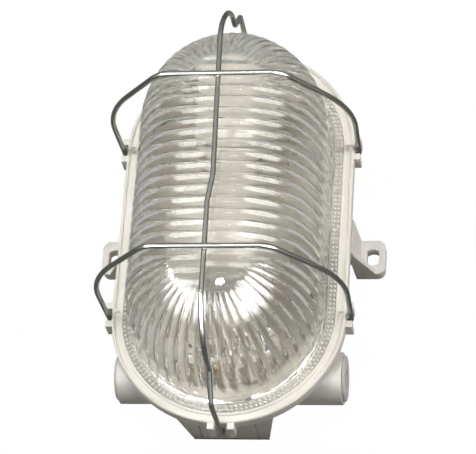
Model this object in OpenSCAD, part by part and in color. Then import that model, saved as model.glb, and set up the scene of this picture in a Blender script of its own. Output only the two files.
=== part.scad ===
// Oval bulkhead light: moulded base, pressed glass dome, snap-on ring and wire guard.
// Millimetres. Origin at the centre of the back, +Z out of the wall, +Y along the length.

/* [Base] */
// Depth from the wall to the top of the ring
light_depth = 36; // [34:1:44]
// How much the tub widens on each side from the back to its rim
tub_flare = 11.5; // [9:0.5:14]
// How far the rim overhangs the tub
rim_over = 4; // [3.5:0.1:5]
// Wall of the base moulding
base_wall = 2.4; // [2:0.1:2.8]
// Thickness of the base rim
rim_t = 2.8; // [2.4:0.1:3.2]

/* [Wall lugs] */
// Distance of a lug hole outside the ring
lug_out = 8; // [7:0.5:11]
// Width of a lug
lug_w = 18; // [16:1:22]
// Thickness of a lug plate
lug_t = 6; // [4:0.5:7]
// Plate left outside the hole centre
lug_margin = 6.2; // [5.8:0.1:8]
// Diameter of the lug hole's round ends
lug_hole_d = 8.7; // [8:0.1:9.5]
// Width across the lug hole's flats
lug_hole_w = 6; // [5:0.1:6.5]
// Wall of the riser that carries a lug
riser_t = 2.2; // [1.8:0.1:2.6]

/* [Cable entries] */
// Outside diameter of an entry boss
boss_d = 25; // [24:0.5:27]
// Distance of the entries past the end of the straight sides
boss_past = 23.5; // [20:0.5:26]
// How far a boss mouth lies inside the ring's edge
boss_inset = 2.5; // [0:0.5:4]
// Diameter of the boss bore that takes the grommet
boss_bore_d = 20; // [19:0.5:21]
// Diameter of the grommet's cable hole
cable_hole_d = 9; // [7:0.5:11]

/* [Break-out block] */
// Width of the block at the wall
block_w = 36; // [32:1:40]
// Width of the block at its top
block_top_w = 46; // [42:1:48]
// How far the block's front lies inside the ring's end
block_inset = 6.5; // [5:0.5:9]
// Distance between the two score lines
score_spacing = 27; // [22:1:29]

/* [Ring] */
// Outside width of the ring
ring_w = 112; // [110:1:118]
// Outside length of the ring
ring_l = 200; // [194:1:220]
// Width of the ring's top band
ring_band = 5.2; // [4.8:0.1:5.6]
// Wall of the ring's skirt
ring_wall = 2; // [1.6:0.1:2.2]
// Height of the ring's skirt
skirt_h = 6; // [5.5:0.1:6.5]
// Thickness of the lip over the glass
lip_t = 2.2; // [2:0.1:2.4]
// Depth of the groove in the top band
groove_d = 0.9; // [0.6:0.1:1]
// Distance of the cross wires past the end of the straight sides
clip_past = 0.6; // [-4:0.2:2]
// Width of one clip ear
ear_w = 3.2; // [2.8:0.1:3.6]
// Height of a clip ear
ear_h = 10; // [9:0.5:10.5]
// How far an ear stands out of the ring
ear_out = 2.8; // [2.4:0.1:3.2]
// Gap between the two ears of a clip
ear_gap = 6.2; // [5.6:0.1:7]

/* [Glass] */
// Width of the flat glass band between the dome and the ring
knurl_w = 4.5; // [3.5:0.1:6]
// Height of the dome above its flange
dome_h = 64; // [60:1:66]
// Fullness of the dome's section, 2 for an ellipse
dome_n = 2.8; // [2.4:0.1:3.2]
// Thickness of the glass between the ribs
glass_wall = 3; // [2.4:0.1:3.4]
// Depth of a moulded rib
rib_depth = 0.7; // [0.5:0.1:1.3]
// Ribs across one straight side
side_ribs = 15; // [11:1:17]
// Ribs round one end
end_ribs = 24; // [20:1:28]
// Thickness of the glass flange
flange_t = 3.6; // [3.2:0.1:4]
// Thickness of the seal
seal_t = 1.6; // [1.2:0.1:2]

/* [Guard] */
// Diameter of the guard wire
wire_d = 2.5; // [2:0.1:2.8]
// Clear height between the dome and the long wire
guard_gap = 4.35; // [3:0.05:12]
// Straight length across the top of a cross wire
guard_flat = 57; // [50:1:62]
// Drop from the top of a cross wire to its shoulder
shoulder_drop = 34; // [30:1:38]
// Gap between the ring and the centre of the wires at their shoulders
wire_out = 3; // [2.8:0.1:3.4]
// Sideways set of the long wire at its kink
wire_kink = 1.4; // [0:0.1:2]

/* [Lamp] */
// Height of the lamp axis above the wall
lamp_z = 52; // [50:1:54]
// Diameter of the bulb
bulb_d = 60; // [55:1:62]
// Length of the lamp
lamp_l = 105; // [100:1:110]
// Diameter of the lamp's cap
cap_d = 26; // [25.6:0.1:26.2]
// Length of the lamp's cap
cap_l = 27; // [26:0.5:28]
// Where the lamp's tip meets the holder, past the end of the straight sides
tip_past = 13.8; // [10:0.2:15]

/* [Lampholder] */
// Outside diameter of the holder
holder_d = 40; // [38:0.5:42]
// Length of the holder
holder_l = 43; // [41:0.5:44]
// Thickness of the bracket steel
bracket_t = 1.5; // [1.2:0.1:2]
// Width of the bracket
bracket_w = 26; // [24:1:27]

/* [Wiring] */
// Distance between the poles of the terminal block
pole_pitch = 10; // [9:0.5:11]
// Distance of the terminal block past the end of the straight sides
terminal_past = 11; // [10:0.5:12]
// Length of the terminal block along the wires
terminal_l = 16; // [15:0.5:18]
// Height of the terminal block
terminal_h = 14; // [13:0.5:15]
// Diameter of an insulated lead
lead_d = 2.4; // [2:0.1:2.6]

/* [Hidden] */
$fn = 72;

// Clearances between pieces
slip = 0.5;
seat = 0.1;
loose = 0.2;
// Overrun of a cut past the face it opens
cut = 1;

// Spine of the oval and the heights of the stack at its edge
ring_r = ring_w / 2;
end_y = ring_l / 2;
spine = end_y - ring_r;
ring_z = light_depth;
ring_in_r = ring_r - ring_band;
flange_top = ring_z - lip_t - seat;
flange_z = flange_top - flange_t;
seal_z = flange_z - seat - seal_t;
rim_z = seal_z;
rim_r = ring_r - ring_wall - slip;
rim_low = rim_z - rim_t;
clip_y = spine + clip_past;

// Small details of the ring's section
outer_lip_w = 1.3;
inner_lip_w = 1.1;
inner_drop = 0.2;
edge_break = 0.6;
groove_draft = 0.3;
groove_in_r = ring_in_r + inner_lip_w;
groove_out_r = ring_r - outer_lip_w;
pocket_l = 3;
pocket_d = 0.6;
pocket_rib = 1.3;
ear_drop = 0.5;

// Tub of the base, its bosses, its break-out block and its lugs
tub_r = rim_r - rim_over;
back_r = tub_r - tub_flare;
tub_in_r = tub_r - base_wall;
back_in_r = back_r - base_wall / 2;
floor_z = base_wall;
floor_fillet = 2;
boss_y = spine + boss_past;
boss_reach = ring_r - boss_inset;
boss_z = boss_d / 2 + slip;
block_reach = end_y - block_inset;
end_line = 3 - spine;
lug_x = ring_r + lug_out;
riser_past = 2.2;
riser_foot = ring_r + riser_past;
riser_top = ring_r + slip;

// Glass section
flange_r = ring_r - ring_wall - loose;
band_r = ring_in_r - loose;
band_z = ring_z - inner_drop;
dome_r = ring_in_r - knurl_w;
dome_in_r = dome_r - glass_wall;
dome_in_h = dome_h - glass_wall;
outer_rows = 11;
inner_rows = 9;
foot_fade = 6;
pole_r = 0.2;
pole_smooth_r = 16;
pole_fade = 10;

// Guard
hook_z = ring_z - skirt_h - wire_d / 2 - seat;
hook_in = ring_wall - loose;
foot_out = 1.8;
long_z = band_z + dome_h + guard_gap + wire_d / 2;
cross_z = long_z + wire_d + seat;
shoulder_z = cross_z - shoulder_drop;
step_in = 10;
fall_drop = 11.4;
step_drop = 29.4;
step_h = 12.5;
fall_z = long_z - fall_drop;
step_high = long_z - step_drop;
step_low = step_high - step_h;
crown_in = 28;
kink_y = -7;
kink_run = 14;
hook_bend = 2.6;
top_bend = 12;
shoulder_bend = 45;
step_bend = 4;
fall_bend = 24;
kink_bend = 12;
wire_sides = 12;
bend_step = 15;

// Lampholder, measured along Y from its mouth to its back
holder_r = holder_d / 2;
shell_t = 0.6;
shell_in_r = cap_d / 2 + loose;
shell_r = shell_in_r + shell_t;
shell_inset = 1.5;
contact_h = 2;
holder_wall = 12;
tip_y = spine + tip_past;
socket_end = tip_y + seat + contact_h;
holder_back = socket_end + holder_wall;
holder_mouth = holder_back - holder_l;
socket_r = shell_r + loose;
shell_start = holder_mouth + shell_inset;

// Bracket under and behind the holder
post_h = 5.5;
post_z = floor_z + post_h;
post_d = 8;
bracket_foot = 24;
bracket_below = 3;
bracket_top = lamp_z + holder_r - bracket_below;
bracket_screw_in = 9;
bracket_screw_edge = 5;
bracket_screw_y = holder_back - bracket_foot + bracket_screw_in;
bracket_screw_x = bracket_w / 2 - bracket_screw_edge;
holder_screw_x = 9;
screw_d = 3;
screw_head_d = 5.6;
screw_head_h = 2;
screw_deep = 4;

// Terminal block on its two posts
poles = 3;
block_y = spine + terminal_past;
terminal_w = poles * pole_pitch;
terminal_post_h = 3.5;
terminal_post_d = 7;
terminal_z = floor_z + terminal_post_h;
tube_z = terminal_z + terminal_h / 2;
tube_d = 5.2;
tube_bore_d = 3.6;
tube_short = 1;
clamp_d = 3.2;
clamp_spacing = 9;
clamp_below = 1;
clamp_slot = 0.7;
terminal_fix_x = pole_pitch / 2;
terminal_fix_d = 2.4;
terminal_fix_head_d = 3.8;

// Leads from the outer poles to the holder
lead_up = 3.5;
lead_clear = 5;
lead_straight = 6;
lead_run = 34;
lead_turn = 8;
lead_rise = 10;
lead_low = floor_z + lead_up;
lead_side = bracket_w / 2 + lead_clear;
lead_hole_x = 10;
lead_hole_in = 5;
lead_hole_y = socket_end + lead_hole_in;
lead_in = 6;
lead_bend = 5;
lead_sides = 8;
holder_under = lamp_z - sqrt(holder_r * holder_r - lead_hole_x * lead_hole_x);
lead_end = holder_under + lead_in;

base_colour = "#d9d6d0";
ring_colour = "#efede6";
glass_colour = [0.72, 0.74, 0.72, 0.45];
wire_colour = "#a9adae";
seal_colour = "#d8d6cf";
grommet_colour = "#c9c7c2";
porcelain_colour = "#f3f1ea";
brass_colour = "#c8a24a";
steel_colour = "#b9bcc0";
lamp_colour = "#fbf9f2";
terminal_colour = "#ece8dc";
sleeving_colour = "#e6e2d6";

// A section of half-width points swept round the oval: two half turns and a straight run
module oval_sweep(points) {
    for (side = [0, 1]) {
        rotate([0, 0, side * 180])
            translate([0, spine, 0])
                rotate_extrude(angle = 180) polygon(points);
    }
    rotate([90, 0, 0])
        linear_extrude(2 * spine, center = true) {
            polygon(points);
            mirror([1, 0]) polygon(points);
        }
}

// Repeats a piece drawn at the right-hand side, measured from the spine, at all six wire clips
module at_clips() {
    for (side = [0, 1], end = [-1, 1]) {
        mirror([side, 0, 0]) translate([0, end * clip_y, 0]) children();
    }
    for (end = [-1, 1]) {
        rotate([0, 0, end * 90]) translate([spine, 0, 0]) children();
    }
}

function unit(v) = v / norm(v);

function turn_angle(u, v) = acos(max(-1, min(1, u * v)));

function heading(points, i) = unit(points[i + 1] - points[i]);

// Centre line of one bend, as [point, heading] pairs along its arc
function bend_rings(points, bend, i) =
    let (
        from = heading(points, i - 1),
        to = heading(points, i),
        angle = turn_angle(from, to),
        inward = cross(unit(cross(from, to)), from),
        centre = points[i] - from * bend * tan(angle / 2) + inward * bend,
        steps = max(2, ceil(angle / bend_step))
    )
    [for (k = [0 : steps])
        let (a = angle * k / steps)
        [centre + bend * (from * sin(a) - inward * cos(a)), from * cos(a) + inward * sin(a)]];

// Round wire through points, straight between bends of the given centre-line radii.
// side is a direction that the wire never runs along, which keeps its rings from twisting.
module bent_wire(points, bends, d, side, sides) {
    last = len(points) - 1;
    rings = concat(
        [[points[0], heading(points, 0)]],
        [for (i = [1 : last - 1]) each bend_rings(points, bends[i], i)],
        [[points[last], heading(points, last - 1)]]
    );
    skin = [
        for (ring = rings)
            let (across = unit(cross(side, ring[1])), up = cross(ring[1], across))
            for (k = [0 : sides - 1])
                ring[0] + d / 2 * (across * cos(360 * k / sides) + up * sin(360 * k / sides))
    ];
    end = (len(rings) - 1) * sides;
    polyhedron(
        points = skin,
        faces = concat(
            [[for (k = [0 : sides - 1]) k]],
            [[for (k = [sides - 1 : -1 : 0]) end + k]],
            [for (i = [0 : len(rings) - 2], k = [0 : sides - 1])
                let (a = i * sides + k, b = i * sides + (k + 1) % sides)
                each [[a, a + sides, b + sides], [a, b + sides, b]]]
        )
    );
}

module along_x(x, y, z) {
    translate([x, y, z]) rotate([0, 90, 0]) children();
}

module along_y(x, y, z) {
    translate([x, y, z]) rotate([-90, 0, 0]) children();
}

// Revolved about the lamp axis from [radius, y] points
module lamp_turned(points) {
    translate([0, 0, lamp_z]) rotate([-90, 0, 0]) rotate_extrude() polygon(points);
}

module lug_outline() {
    corner = 4;
    start = riser_foot - riser_t;
    reach = lug_x + lug_margin;
    translate([start, -lug_w / 2]) square([reach - corner - start, lug_w]);
    translate([start, corner - lug_w / 2]) square([reach - start, lug_w - 2 * corner]);
    for (side = [-1, 1]) {
        translate([reach - corner, side * (lug_w / 2 - corner)]) circle(corner);
    }
}

// Draws a side view of a lug, [x, z], thickened along Y from the given start
module lug_web(y, w) {
    translate([0, y + w, 0]) rotate([90, 0, 0]) linear_extrude(w) children();
}

// One wall lug: a plate on a riser that hangs from the rim, with a gusset at its lower edge and a rib behind
module lug_body() {
    gusset_x = lug_x + lug_hole_w / 4;
    linear_extrude(lug_t) lug_outline();
    lug_web(-lug_w / 2, lug_w)
        polygon([
            [riser_foot - riser_t, 0],
            [riser_foot, 0],
            [riser_foot, lug_t],
            [riser_top, rim_z],
            [tub_r, rim_z],
            [tub_r, rim_low],
            [riser_top - riser_t, rim_low]
        ]);
    lug_web(-lug_w / 2, riser_t)
        polygon([
            [riser_foot - cut, 0],
            [riser_top - cut, rim_low],
            [riser_top, rim_low],
            [gusset_x, lug_t],
            [gusset_x, 0]
        ]);
    lug_web(-riser_t / 2, riser_t)
        polygon([
            [back_r - edge_break, 0],
            [riser_foot - cut, 0],
            [riser_top - cut, rim_low + cut],
            [tub_r - edge_break, rim_low + cut]
        ]);
}

// Hole through a lug plate, round with two flats
module lug_cuts() {
    translate([lug_x, 0, -cut])
        linear_extrude(lug_t + 2 * cut)
            intersection() {
                circle(d = lug_hole_d);
                square([lug_hole_w, lug_hole_d + cut], center = true);
            }
}

module block_outline(inset) {
    polygon([
        [-block_w / 2 + inset, inset],
        [block_w / 2 - inset, inset],
        [block_top_w / 2 - inset, rim_low + (inset > 0 ? -inset : cut / 2)],
        [-block_top_w / 2 + inset, rim_low + (inset > 0 ? -inset : cut / 2)]
    ]);
}

// Hollow block at the lower end whose front panel breaks out between two score lines
module block_body() {
    translate([0, -spine, 0])
        rotate([90, 0, 0]) linear_extrude(block_reach - spine) block_outline(0);
}

module block_cuts() {
    score_w = 0.8;
    notch = 3;
    score_top = rim_low - 2 * notch;
    translate([0, -spine, 0])
        rotate([90, 0, 0]) linear_extrude(block_reach - spine - base_wall) block_outline(base_wall);
    for (side = [-1, 1]) {
        translate([side * score_spacing / 2, -block_reach, 0])
            rotate([90, 0, 0]) {
                linear_extrude(2 * score_w, center = true)
                    translate([-score_w / 2, base_wall / 2]) square([score_w, score_top - base_wall / 2]);
                linear_extrude(2 * (base_wall + cut), center = true)
                    polygon([[-notch / 2, score_top + notch], [notch / 2, score_top + notch], [0, score_top - notch]]);
            }
    }
}

module tub_outside() {
    oval_sweep([
        [0, 0],
        [back_r - edge_break, 0],
        [back_r, edge_break],
        [tub_r, rim_low - edge_break],
        [rim_r, rim_low],
        [rim_r, rim_z],
        [0, rim_z]
    ]);
}

module tub_inside() {
    oval_sweep([
        [0, floor_z],
        [back_in_r - floor_fillet, floor_z],
        [back_in_r, floor_z + floor_fillet],
        [tub_in_r, rim_low],
        [tub_in_r, rim_z + cut],
        [0, rim_z + cut]
    ]);
}

// Flat floor of the tub and of the break-out block, inside their walls
module back_outline() {
    edge_r = back_in_r - floor_fillet;
    inside_w = block_w - 2 * base_wall;
    square([2 * edge_r, 2 * spine], center = true);
    for (end = [-1, 1]) {
        translate([0, end * spine]) circle(edge_r);
    }
    translate([-inside_w / 2, base_wall - block_reach]) square([inside_w, block_reach - base_wall - spine]);
}

module bored_post(x, y, h, d, hole_d) {
    translate([x, y, floor_z - cut / 2])
        difference() {
            cylinder(h = h + cut / 2, d = d);
            translate([0, 0, cut]) cylinder(h = h + cut, d = hole_d);
        }
}

// Everything on one side of the line across the base where the cable end of the moulding starts
module base_side(toward) {
    reach = 2 * end_y;
    translate([-reach, toward > 0 ? end_line : end_line - reach, -cut])
        cube([2 * reach, reach, rim_z + 2 * cut]);
}

// Walls of the base with its rim and lugs
module base() {
    color(base_colour)
        difference() {
            intersection() {
                union() {
                    tub_outside();
                    for (side = [0, 1]) mirror([side, 0, 0]) lug_body();
                }
                base_side(1);
            }
            tub_inside();
            translate([0, 0, -cut]) linear_extrude(floor_z + 2 * cut) back_outline();
            for (side = [0, 1]) mirror([side, 0, 0]) lug_cuts();
        }
}

// Cable end of the same moulding, with its bosses and break-out block; a node of its own, so that each stays simple
module base_end() {
    color(base_colour)
        difference() {
            union() {
                intersection() {
                    tub_outside();
                    base_side(-1);
                }
                block_body();
                for (side = [0, 1]) mirror([side, 0, 0])
                    along_x(0, -boss_y, boss_z) cylinder(h = boss_reach, d = boss_d);
            }
            tub_inside();
            block_cuts();
            translate([0, 0, -cut]) linear_extrude(floor_z + 2 * cut) back_outline();
            for (side = [0, 1]) mirror([side, 0, 0])
                along_x(0, -boss_y, boss_z) cylinder(h = boss_reach + cut, d = boss_bore_d);
        }
}

// The flat back of the same moulding, with its posts
module base_back() {
    color(base_colour) {
        linear_extrude(floor_z) back_outline();
        for (side = [-1, 1]) {
            bored_post(side * bracket_screw_x, bracket_screw_y, post_h, post_d, screw_d + loose);
            bored_post(side * terminal_fix_x, -block_y, terminal_post_h, terminal_post_d, terminal_fix_d + loose);
        }
    }
}

module seal() {
    color(seal_colour)
        oval_sweep([
            [dome_in_r + slip, seal_z],
            [rim_r - slip, seal_z],
            [rim_r - slip, seal_z + seal_t],
            [dome_in_r + slip, seal_z + seal_t]
        ]);
}

module clip_ear() {
    translate([ring_r - ring_wall, 0, ring_z - ear_drop - ear_h])
        rotate([90, 0, 90])
            linear_extrude(ring_wall + ear_out) {
                translate([-ear_w / 2, ear_w / 2]) square([ear_w, ear_h - ear_w / 2]);
                translate([0, ear_w / 2]) circle(d = ear_w);
            }
}

// Shallow pocket in the groove floor over a clip, with a bridge rib at its far edge
module clip_pocket() {
    translate([groove_in_r + groove_draft, -pocket_l / 2, ring_z - groove_d - pocket_d])
        cube([groove_out_r - groove_in_r - 2 * groove_draft, pocket_l, groove_d + pocket_d + cut]);
}

module clip_rib() {
    translate([groove_in_r, pocket_l / 2, ring_z - lip_t])
        cube([groove_out_r - groove_in_r, pocket_rib, lip_t - inner_drop]);
}

module ring() {
    color(ring_colour) {
        difference() {
            union() {
                oval_sweep([
                    [ring_r, ring_z - skirt_h],
                    [ring_r, ring_z - edge_break],
                    [ring_r - edge_break, ring_z],
                    [groove_out_r, ring_z],
                    [groove_out_r - groove_draft, ring_z - groove_d],
                    [groove_in_r + groove_draft, ring_z - groove_d],
                    [groove_in_r, ring_z - inner_drop],
                    [ring_in_r, ring_z - inner_drop],
                    [ring_in_r, ring_z - lip_t],
                    [ring_r - ring_wall, ring_z - lip_t],
                    [ring_r - ring_wall, ring_z - skirt_h]
                ]);
                at_clips() {
                    for (side = [-1, 1]) {
                        translate([0, side * (ear_gap + ear_w) / 2, 0]) clip_ear();
                    }
                }
                for (side = [0, 1], end = [-1, 1]) {
                    mirror([side, 0, 0]) translate([0, end * clip_y, 0]) clip_rib();
                }
            }
            for (side = [0, 1], end = [-1, 1]) {
                mirror([side, 0, 0]) translate([0, end * clip_y, 0]) clip_pocket();
            }
        }
    }
}

// The dome is a superellipse section swept round the oval, smooth outside and ribbed inside.
// Stations run round the oval; every second one is the crest of a rib.
side_steps = 2 * side_ribs;
end_steps = 2 * end_ribs;
loop_steps = 2 * (side_steps + end_steps);

// Each station: its place on the spine, its heading from there, and its crown vertex
stations = [
    for (k = [0 : side_steps - 1]) [-spine + 2 * spine * k / side_steps, 0, k],
    for (k = [0 : end_steps - 1]) [spine, 180 * k / end_steps, side_steps],
    for (k = [0 : side_steps - 1]) [spine - 2 * spine * k / side_steps, 180, side_steps - k],
    for (k = [0 : end_steps - 1]) [-spine, 180 + 180 * k / end_steps, 0]
];

function on_side(j) = j % (side_steps + end_steps) < side_steps;

function station_point(j, r, z) =
    [r * cos(stations[j][1]), stations[j][0] + r * sin(stations[j][1]), z];

function dome_out(t) = [dome_r * pow(cos(t), 2 / dome_n), band_z + dome_h * pow(sin(t), 2 / dome_n)];

function dome_in(t) = [dome_in_r * pow(cos(t), 2 / dome_n), band_z + dome_in_h * pow(sin(t), 2 / dome_n)];

// Rib height at a point of the inner section: none at the foot or over the smooth end poles
function rib_at(j, p) =
    j % 2 == 0
        ? 0
        : rib_depth
            * min(1, max(0, (p[1] - band_z) / foot_fade))
            * (on_side(j) ? 1 : min(1, max(0, (p[0] - pole_smooth_r) / pole_fade)));

// Inner section pushed in along its rough normal by the rib
function ribbed(j, t) =
    let (p = dome_in(t), rib = rib_at(j, p))
    station_point(j, max(p[0] - rib * cos(t), pole_r), p[1] - rib * sin(t));

function row_angle(i, rows) = 90 * i / rows;

// Steps up from the flange to the foot of the dome, as [half width, height]
flange_rows = [[flange_r, flange_z], [flange_r, flange_top], [band_r, flange_top], [band_r, band_z]];

outer_grid = concat(
    [for (row = flange_rows) [for (j = [0 : loop_steps - 1]) station_point(j, row[0], row[1])]],
    [for (i = [0 : outer_rows - 1])
        let (p = dome_out(row_angle(i, outer_rows)))
        [for (j = [0 : loop_steps - 1]) station_point(j, p[0], p[1])]]
);

inner_grid = concat(
    [[for (j = [0 : loop_steps - 1]) station_point(j, dome_in_r, flange_z)]],
    [for (i = [0 : inner_rows - 1])
        [for (j = [0 : loop_steps - 1]) ribbed(j, row_angle(i, inner_rows))]]
);

outer_crown = [for (k = [0 : side_steps]) [0, -spine + 2 * spine * k / side_steps, band_z + dome_h]];

inner_crown = [
    for (k = [0 : side_steps])
        [0, -spine + 2 * spine * k / side_steps, band_z + dome_in_h - (k % 2 == 0 ? 0 : rib_depth)]
];

function flat(rows) = [for (row = rows) each row];

// Two triangles of a grid cell, left out where they close up; turned for the inner wall
function cell(a, b, c, d, inside) =
    let (two = [[a, b, c], [a, c, d]])
    [for (f = two) if (f[0] != f[1] && f[1] != f[2] && f[0] != f[2]) inside ? [f[0], f[2], f[1]] : f];

function wall_faces(first, rows, crown_first, inside) = [
    for (i = [0 : rows - 1], j = [0 : loop_steps - 1])
        let (
            next = (j + 1) % loop_steps,
            a = first + i * loop_steps + j,
            b = first + i * loop_steps + next,
            top = i == rows - 1,
            c = top ? crown_first + stations[next][2] : b + loop_steps,
            d = top ? crown_first + stations[j][2] : a + loop_steps
        )
        each cell(a, d, c, b, inside)
];

module glass() {
    outer_count = len(outer_grid) * loop_steps;
    inner_count = len(inner_grid) * loop_steps;
    outer_crown_first = outer_count + inner_count;
    inner_crown_first = outer_crown_first + side_steps + 1;
    underside = [
        for (j = [0 : loop_steps - 1])
            let (next = (j + 1) % loop_steps)
            each cell(j, next, outer_count + next, outer_count + j, false)
    ];
    color(glass_colour)
        polyhedron(
            points = concat(flat(outer_grid), flat(inner_grid), outer_crown, inner_crown),
            faces = concat(
                wall_faces(0, len(outer_grid), outer_crown_first, false),
                wall_faces(outer_count, len(inner_grid), inner_crown_first, true),
                underside
            )
        );
}

module cross_wire(y) {
    side = ring_r + wire_out;
    foot = ring_r + foot_out;
    hook = ring_r - hook_in;
    color(wire_colour)
        bent_wire(
            [
                [-hook, y, hook_z],
                [-foot, y, hook_z],
                [-side, y, shoulder_z],
                [-guard_flat / 2, y, cross_z],
                [guard_flat / 2, y, cross_z],
                [side, y, shoulder_z],
                [foot, y, hook_z],
                [hook, y, hook_z]
            ],
            [0, hook_bend, shoulder_bend, top_bend, top_bend, shoulder_bend, hook_bend, 0],
            wire_d,
            [0, 1, 0],
            wire_sides
        );
}

module guard_upper_cross_wire() {
    cross_wire(clip_y);
}

module guard_lower_cross_wire() {
    cross_wire(-clip_y);
}

// Long wire: hooked under the ring at both ends, stepped in over the dome, kinked near the middle
module guard_long_wire() {
    end = end_y + wire_out;
    hook = end_y - hook_in;
    inner = end_y - step_in;
    crown = end_y - crown_in;
    color(wire_colour)
        bent_wire(
            [
                [0, -hook, hook_z],
                [0, -end, hook_z],
                [0, -end, step_low],
                [0, -inner, step_high],
                [0, -inner, fall_z],
                [-wire_kink / 2, -crown, long_z],
                [-wire_kink, kink_y - kink_run, long_z],
                [wire_kink / 4, kink_y, long_z],
                [-wire_kink, crown, long_z],
                [0, inner, fall_z],
                [0, inner, step_high],
                [0, end, step_low],
                [0, end, hook_z],
                [0, hook, hook_z]
            ],
            [
                0, hook_bend, step_bend, step_bend, fall_bend, fall_bend, kink_bend,
                kink_bend, fall_bend, fall_bend, step_bend, step_bend, hook_bend, 0
            ],
            wire_d,
            [1, 0, 0],
            wire_sides
        );
}

// Rubber grommet: flange outside the boss, thick end wall with the cable hole, hollow skirt inside
module cable_grommet() {
    flange_d = boss_bore_d + 2;
    flange_w = 1.6;
    end_wall = 3;
    body_l = 9;
    skirt_wall = 1.6;
    body_r = boss_bore_d / 2 - loose;
    color(grommet_colour)
        along_x(boss_reach, -boss_y, boss_z)
            rotate_extrude()
                polygon([
                    [cable_hole_d / 2, flange_w],
                    [flange_d / 2 - edge_break, flange_w],
                    [flange_d / 2, flange_w - edge_break],
                    [flange_d / 2, 0],
                    [body_r, 0],
                    [body_r, -body_l],
                    [body_r - skirt_wall, -body_l],
                    [body_r - skirt_wall, -end_wall],
                    [cable_hole_d / 2, -end_wall]
                ]);
}

module left_cable_grommet() {
    mirror([1, 0, 0]) cable_grommet();
}

module right_cable_grommet() {
    cable_grommet();
}

// Porcelain holder with its socket, lead holes and fixing holes
module lampholder_body() {
    shoulder = 3;
    color(porcelain_colour)
        difference() {
            lamp_turned([
                [socket_r, holder_mouth],
                [holder_r - shoulder, holder_mouth],
                [holder_r - shoulder / 2, holder_mouth + shoulder],
                [holder_r, holder_mouth + 2 * shoulder],
                [holder_r, holder_back],
                [0, holder_back],
                [0, socket_end],
                [socket_r, socket_end]
            ]);
            for (side = [-1, 1]) {
                translate([side * lead_hole_x, lead_hole_y, holder_under - holder_r])
                    cylinder(h = holder_r + lead_in + slip, d = lead_d + 2 * loose);
                along_y(side * holder_screw_x, holder_back - screw_deep - slip, lamp_z)
                    cylinder(h = screw_deep + 2 * slip, d = screw_d + loose);
            }
        }
}

// Brass shell, seated on the bottom of the socket with an inward foot
module lampholder_screw_shell() {
    foot_w = 4;
    color(brass_colour)
        lamp_turned([
            [shell_in_r, shell_start],
            [shell_r, shell_start],
            [shell_r, socket_end],
            [shell_in_r - foot_w, socket_end],
            [shell_in_r - foot_w, socket_end - shell_t],
            [shell_in_r, socket_end - shell_t]
        ]);
}

module lampholder_centre_contact() {
    contact_r = 5;
    contact_t = 0.8;
    color(brass_colour)
        lamp_turned([
            [0, socket_end - contact_h],
            [contact_r / 2, socket_end - contact_h],
            [contact_r, socket_end - contact_t],
            [contact_r, socket_end],
            [0, socket_end]
        ]);
}

// Folded steel angle: foot on the base posts, upright behind the holder
module lampholder_bracket() {
    color(steel_colour)
        difference() {
            union() {
                translate([-bracket_w / 2, holder_back + bracket_t - bracket_foot, post_z])
                    cube([bracket_w, bracket_foot, bracket_t]);
                translate([-bracket_w / 2, holder_back, post_z])
                    cube([bracket_w, bracket_t, bracket_top - post_z]);
            }
            for (side = [-1, 1]) {
                translate([side * bracket_screw_x, bracket_screw_y, post_z - cut])
                    cylinder(h = bracket_t + 2 * cut, d = screw_d + 2 * loose);
                along_y(side * holder_screw_x, holder_back - cut, lamp_z)
                    cylinder(h = bracket_t + 2 * cut, d = screw_d + 2 * loose);
            }
        }
}

// Pan-head screw standing on z = 0 with its shank below
module pan_screw(shank_d, shank_l, head_d, head_h) {
    slot_w = 0.8;
    slot_deep = head_h / 2;
    difference() {
        rotate_extrude()
            polygon([
                [0, -shank_l],
                [shank_d / 2, -shank_l],
                [shank_d / 2, 0],
                [head_d / 2, 0],
                [head_d / 2, head_h / 2],
                [head_d / 2 - head_h / 2, head_h],
                [0, head_h]
            ]);
        translate([0, 0, head_h]) cube([head_d + cut, slot_w, 2 * slot_deep], center = true);
    }
}

module bracket_screws() {
    color(steel_colour)
        for (side = [-1, 1]) {
            translate([side * bracket_screw_x, bracket_screw_y, post_z + bracket_t])
                pan_screw(screw_d, bracket_t + screw_deep, screw_head_d, screw_head_h);
        }
}

module lampholder_screws() {
    color(steel_colour)
        for (side = [-1, 1]) {
            along_y(side * holder_screw_x, holder_back + bracket_t, lamp_z)
                pan_screw(screw_d, bracket_t + screw_deep, screw_head_d, screw_head_h);
        }
}

// Opal lamp: round bulb, a neck that sweeps into the cap, and the contact tip
module lamp() {
    bulb_r = bulb_d / 2;
    cap_r = cap_d / 2;
    neck_step = 0.1;
    neck_l = 3;
    neck_r = cap_r + neck_step;
    bulb_y = tip_y - lamp_l + bulb_r;
    neck_y = tip_y - cap_l - neck_l;
    tangent = 40;
    arc_steps = 13;
    neck_steps = 6;
    leave = [bulb_r * cos(tangent), bulb_y + bulb_r * sin(tangent)];
    control = [neck_r, leave[1] + (leave[0] - neck_r) / tan(tangent)];
    meet = [neck_r, neck_y];
    tip_r = 5;
    tip_edge = 1;
    tip_cone = 5;
    color(lamp_colour)
        lamp_turned(concat(
            [[0, bulb_y - bulb_r]],
            [for (i = [1 : arc_steps])
                let (a = -90 + (90 + tangent) * i / arc_steps)
                [bulb_r * cos(a), bulb_y + bulb_r * sin(a)]],
            [for (i = [1 : neck_steps])
                let (t = i / neck_steps)
                (1 - t) * (1 - t) * leave + 2 * t * (1 - t) * control + t * t * meet],
            [
                [cap_r, tip_y - cap_l],
                [cap_r, tip_y - tip_cone],
                [tip_r, tip_y - tip_edge],
                [tip_r - tip_edge, tip_y],
                [0, tip_y]
            ]
        ));
}

function pole_x(i) = (i - (poles - 1) / 2) * pole_pitch;

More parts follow.
